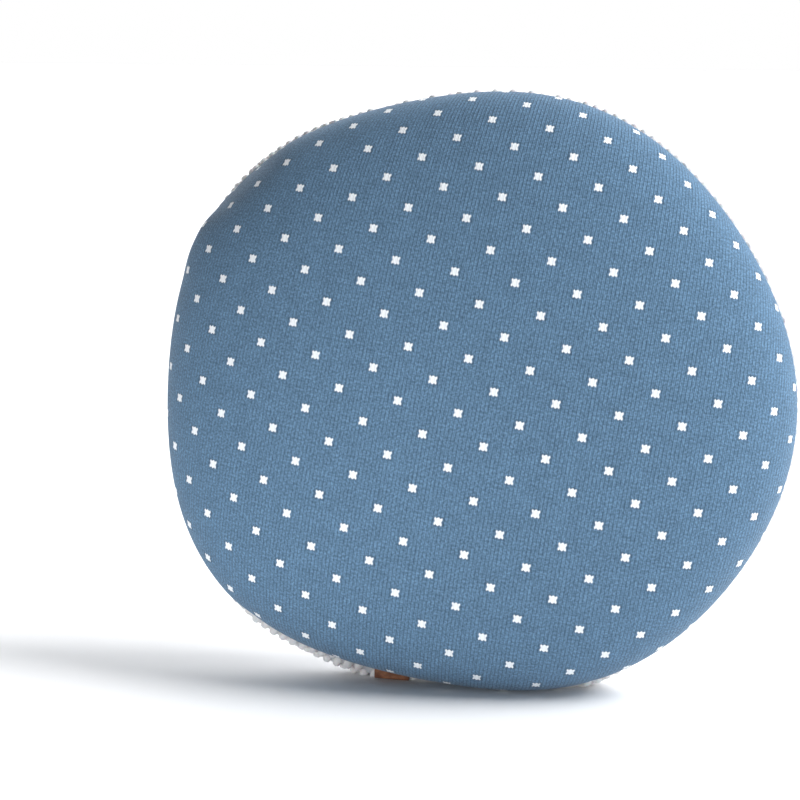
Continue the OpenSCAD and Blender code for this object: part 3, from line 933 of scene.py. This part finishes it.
TAPE = woven_material("zip_tape", (0.76, 0.76, 0.76, 1), 1.6, 0.15 * MM)
METAL = metal_material()
RIBBON = woven_material("label_ribbon", (0.82, 0.82, 0.80, 1), 3.0, 0.05 * MM)
finish_cad_node("zip_tape_front", TAPE)
finish_cad_node("zip_tape_back", TAPE)
finish_cad_node("care_label", RIBBON)
finish_cad_node("lining_seam_thread", THREAD)
finish_cad_node("zip_bar_tacks", THREAD)
for metal_node in ("zip_top_stops", "zip_bottom_stop", "zip_slider", "zip_pull"):
    finish_cad_node(metal_node, METAL, METAL_EDGE)


# --- Floor, light and camera --------------------------------------------------------------

CAMERA_YAW = 10.62
CAMERA_ELEVATION = 9.73
CAMERA_DISTANCE = 1.985
# Width of the picture at the camera's distance, and how far left and below the seam's middle it aims
VIEW_WIDTH = 0.56
AIM_LEFT = 52.3 * MM
AIM_DOWN = 3.5 * MM


# The studio's dark side. The light falls from one strength to another between two shares of it.
DARK_TOWARDS = (-0.42, -0.60, 0.68)
STUDIO_LIGHT = (-0.1, 0.55, 3.2, 0.0)
# The wall behind gets a smaller share of the light, so that the white plush keeps its detail
BEHIND_SHARE = (-0.75, -0.15, 0.14, 1.0)
STUDIO_TINT = (0.95, 0.97, 1.0, 1)


FLOOR_HALF = 8.0


def make_floor():
    s = Shader("floor", Roughness=0.9, Specular_IOR_Level=0.1)
    grain = s.noise(s.place(), 30.0, 3.0)
    half = FLOOR_HALF
    floor = new_object("floor", [(-half, -half, 0), (half, -half, 0), (half, half, 0),
                                 (-half, half, 0)], [[0, 1, 2, 3]], False)
    floor.data.materials.append(s.finish(s.shade((0.93, 0.93, 0.93, 1),
                                                 s.fit(grain, 0.3, 0.7, 0.99, 1.0))))


def make_light(name, kind, azimuth, elevation, energy, distance, **settings):
    """A light whose azimuth is 0 in front of the cushion and 90 on the right."""
    data = bpy.data.lights.new(name, kind)
    data.energy = energy
    for key, value in settings.items():
        setattr(data, key, value)
    light = bpy.data.objects.new(name, data)
    bpy.context.scene.collection.objects.link(light)
    back = np.array([sind(azimuth) * cosd(elevation), -cosd(azimuth) * cosd(elevation),
                     sind(elevation)])
    aim(light, SEAM_CENTRE + distance * back, back)


def aim(thing, place, back):
    """Puts a light or camera at a place, looking away from back."""
    thing.location = Vector(place)
    thing.rotation_mode = "QUATERNION"
    thing.rotation_quaternion = (-Vector(back)).to_track_quat("-Z", "Y")


def falloff(tree, limits, kind):
    """A node that turns the share of the dark direction into a strength."""
    node = tree.nodes.new("ShaderNodeMapRange")
    node.interpolation_type = kind
    for socket, value in zip(("From Min", "From Max", "To Min", "To Max"), limits):
        node.inputs[socket].default_value = value
    return node


def make_world():
    """Soft studio light: bright from the sides, the back and low down, and dark from in front and
    above, with a white backdrop."""
    world = bpy.data.worlds.new("studio")
    bpy.context.scene.world = world
    world.use_nodes = True
    tree = world.node_tree
    tree.nodes.clear()
    direction = tree.nodes.new("ShaderNodeTexCoord")
    towards = tree.nodes.new("ShaderNodeVectorMath")
    towards.operation = "DOT_PRODUCT"
    towards.inputs[1].default_value = DARK_TOWARDS
    strength = falloff(tree, STUDIO_LIGHT, "SMOOTHSTEP")
    behind = falloff(tree, BEHIND_SHARE, "LINEAR")
    both = tree.nodes.new("ShaderNodeMath")
    both.operation = "MULTIPLY"
    light = tree.nodes.new("ShaderNodeBackground")
    light.inputs["Color"].default_value = STUDIO_TINT
    path = tree.nodes.new("ShaderNodeLightPath")
    backdrop = tree.nodes.new("ShaderNodeBackground")
    backdrop.inputs["Color"].default_value = (1, 1, 1, 1)
    mix = tree.nodes.new("ShaderNodeMixShader")
    output = tree.nodes.new("ShaderNodeOutputWorld")
    tree.links.new(direction.outputs["Generated"], towards.inputs[0])
    tree.links.new(towards.outputs["Value"], strength.inputs["Value"])
    tree.links.new(towards.outputs["Value"], behind.inputs["Value"])
    tree.links.new(strength.outputs[0], both.inputs[0])
    tree.links.new(behind.outputs[0], both.inputs[1])
    tree.links.new(both.outputs[0], light.inputs["Strength"])
    tree.links.new(path.outputs["Is Camera Ray"], mix.inputs[0])
    tree.links.new(light.outputs[0], mix.inputs[1])
    tree.links.new(backdrop.outputs[0], mix.inputs[2])
    tree.links.new(mix.outputs[0], output.inputs["Surface"])


def make_camera():
    data = bpy.data.cameras.new("camera")
    camera = bpy.data.objects.new("camera", data)
    bpy.context.scene.collection.objects.link(camera)
    yaw, tilt = CAMERA_YAW, CAMERA_ELEVATION
    back = np.array([sind(yaw) * cosd(tilt), -cosd(yaw) * cosd(tilt), sind(tilt)])
    right = np.array([cosd(yaw), sind(yaw), 0])
    up = np.cross(back, right)
    target = SEAM_CENTRE - right * AIM_LEFT - up * AIM_DOWN
    aim(camera, target + back * CAMERA_DISTANCE, back)
    data.lens = data.sensor_width * CAMERA_DISTANCE / VIEW_WIDTH
    bpy.context.scene.camera = camera


make_floor()
make_world()
make_light("key", "SUN", 84, 46, 3.3, 2.5, angle=math.radians(30))
make_light("low_fill", "AREA", -24, -20, 1.15, 0.5, shape="RECTANGLE", size=0.7, size_y=0.08)
make_camera()
bpy.context.scene.view_settings.view_transform = "Standard"
